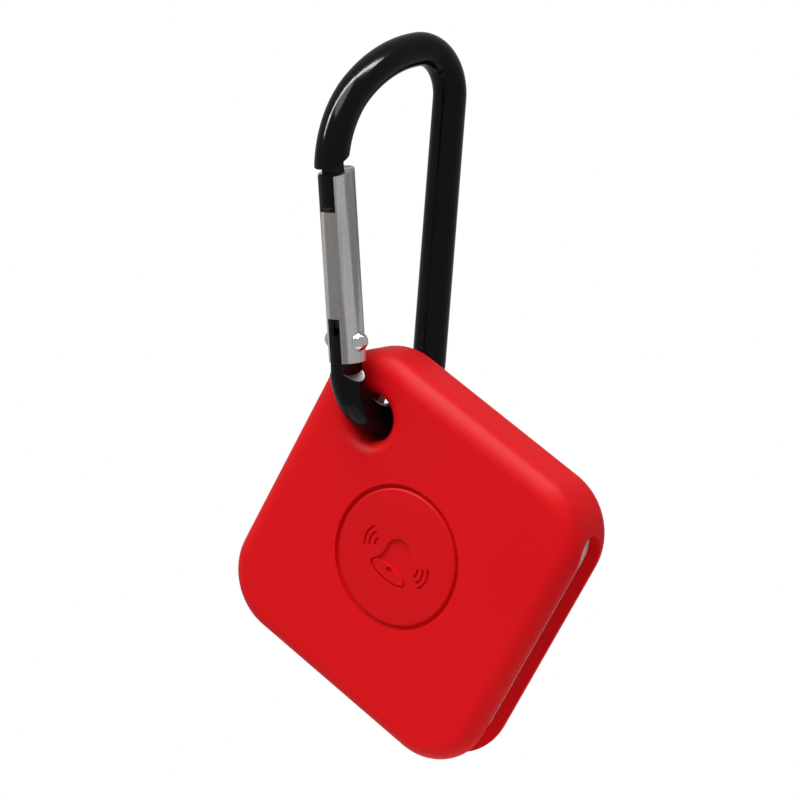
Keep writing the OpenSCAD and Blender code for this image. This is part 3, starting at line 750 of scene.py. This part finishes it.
# ---------------------------------------------------------------- studio
# The tag hangs over a small pale table, in front of white. A broad light stands above it and
# in front, an even, dimmer light comes from all round, and a row of strips adds highlights.
whole_low = Vector(cad_box[0])
TABLE_DROP = 0.04
TABLE_HALF = 0.05
SURROUND = 0.42
KEY_STRENGTH = 1.9
KEY_WIDTH = radians(34)
KEY_FROM = Vector((0.02, -0.51, 0.91))

tag_centre = TAG @ Vector((0, 0, 0))
table = bmesh.new()
table_centre = Vector((tag_centre.x, tag_centre.y, whole_low.z - TABLE_DROP))
bmesh.ops.create_grid(table, x_segments=1, y_segments=1, size=TABLE_HALF,
                      matrix=Matrix.Translation(table_centre))
table_top = piece("studio_floor", table, Matrix())
paper = Finish("pale_paper", Roughness=0.9)
clouds = paper.noise(30, detail=2)
paper.feed(Base_Color=paper.blend(clouds, (0.88, 0.88, 0.88), (0.93, 0.93, 0.93)))
paper.on(table_top)

world = bpy.data.worlds.new("studio")
bpy.context.scene.world = world
world.use_nodes = True
surround = world.node_tree
dim = surround.nodes["Background"]
dim.inputs["Strength"].default_value = SURROUND
dim.inputs["Color"].default_value = (1, 1, 1, 1)
backdrop = surround.nodes.new("ShaderNodeBackground")
backdrop.inputs["Color"].default_value = (1, 1, 1, 1)
seen = surround.nodes.new("ShaderNodeLightPath")
either = surround.nodes.new("ShaderNodeMixShader")
surround.links.new(seen.outputs["Is Camera Ray"], either.inputs[0])
surround.links.new(dim.outputs[0], either.inputs[1])
surround.links.new(backdrop.outputs[0], either.inputs[2])
surround.links.new(either.outputs[0], surround.nodes["World Output"].inputs[0])

key = bpy.data.lights.new("key", "SUN")
key.energy = KEY_STRENGTH
key.angle = KEY_WIDTH
key_lamp = bpy.data.objects.new("key", key)
bpy.context.scene.collection.objects.link(key_lamp)
key_lamp.rotation_euler = KEY_FROM.to_track_quat("Z", "Y").to_euler()

VIEW_LENS = 156.45
VIEW_TURN = radians(33.58)
VIEW_RISE = radians(7.733)
TAG_TO_CAMERA = Vector((0.22082, -0.33614, 0.07260))

lens = bpy.data.cameras.new("camera")
lens.lens = VIEW_LENS
lens.sensor_width = 36
camera = bpy.data.objects.new("camera", lens)
bpy.context.scene.collection.objects.link(camera)
camera.location = tag_centre + TAG_TO_CAMERA
camera.rotation_euler = (pi / 2 - VIEW_RISE, 0, VIEW_TURN)
bpy.context.scene.camera = camera
bpy.context.scene.view_settings.view_transform = "Standard"

# A row of strip lights, from above the arch round to its left, draws the long highlight on
# the bar. Each place is an angle in degrees round the line of sight.
STRIP_PLACES = (64, 79, 94, 109, 124, 139, 152)
STRIP_OUT = 0.96
STRIP_FORWARD = 0.28
STRIP_SIZE = (0.10, 0.045)
STRIP_DISTANCE = 0.35
STRIP_POWER = 0.55
view = camera.rotation_euler.to_matrix()
for place in STRIP_PLACES:
    turn = radians(place)
    strip = bpy.data.lights.new("strip", "AREA")
    strip.shape = "RECTANGLE"
    strip.size, strip.size_y = STRIP_SIZE
    strip.energy = STRIP_POWER
    lamp = bpy.data.objects.new("strip", strip)
    lamp.visible_diffuse = False
    bpy.context.scene.collection.objects.link(lamp)
    outward = view @ Vector((STRIP_OUT * cos(turn), STRIP_OUT * sin(turn), STRIP_FORWARD))
    along = view @ Vector((-sin(turn), cos(turn), 0))
    lamp.matrix_world = Matrix.LocRotScale(STRIP_DISTANCE * outward, Matrix(
        (along, outward.cross(along), outward)).transposed().to_quaternion(), None)
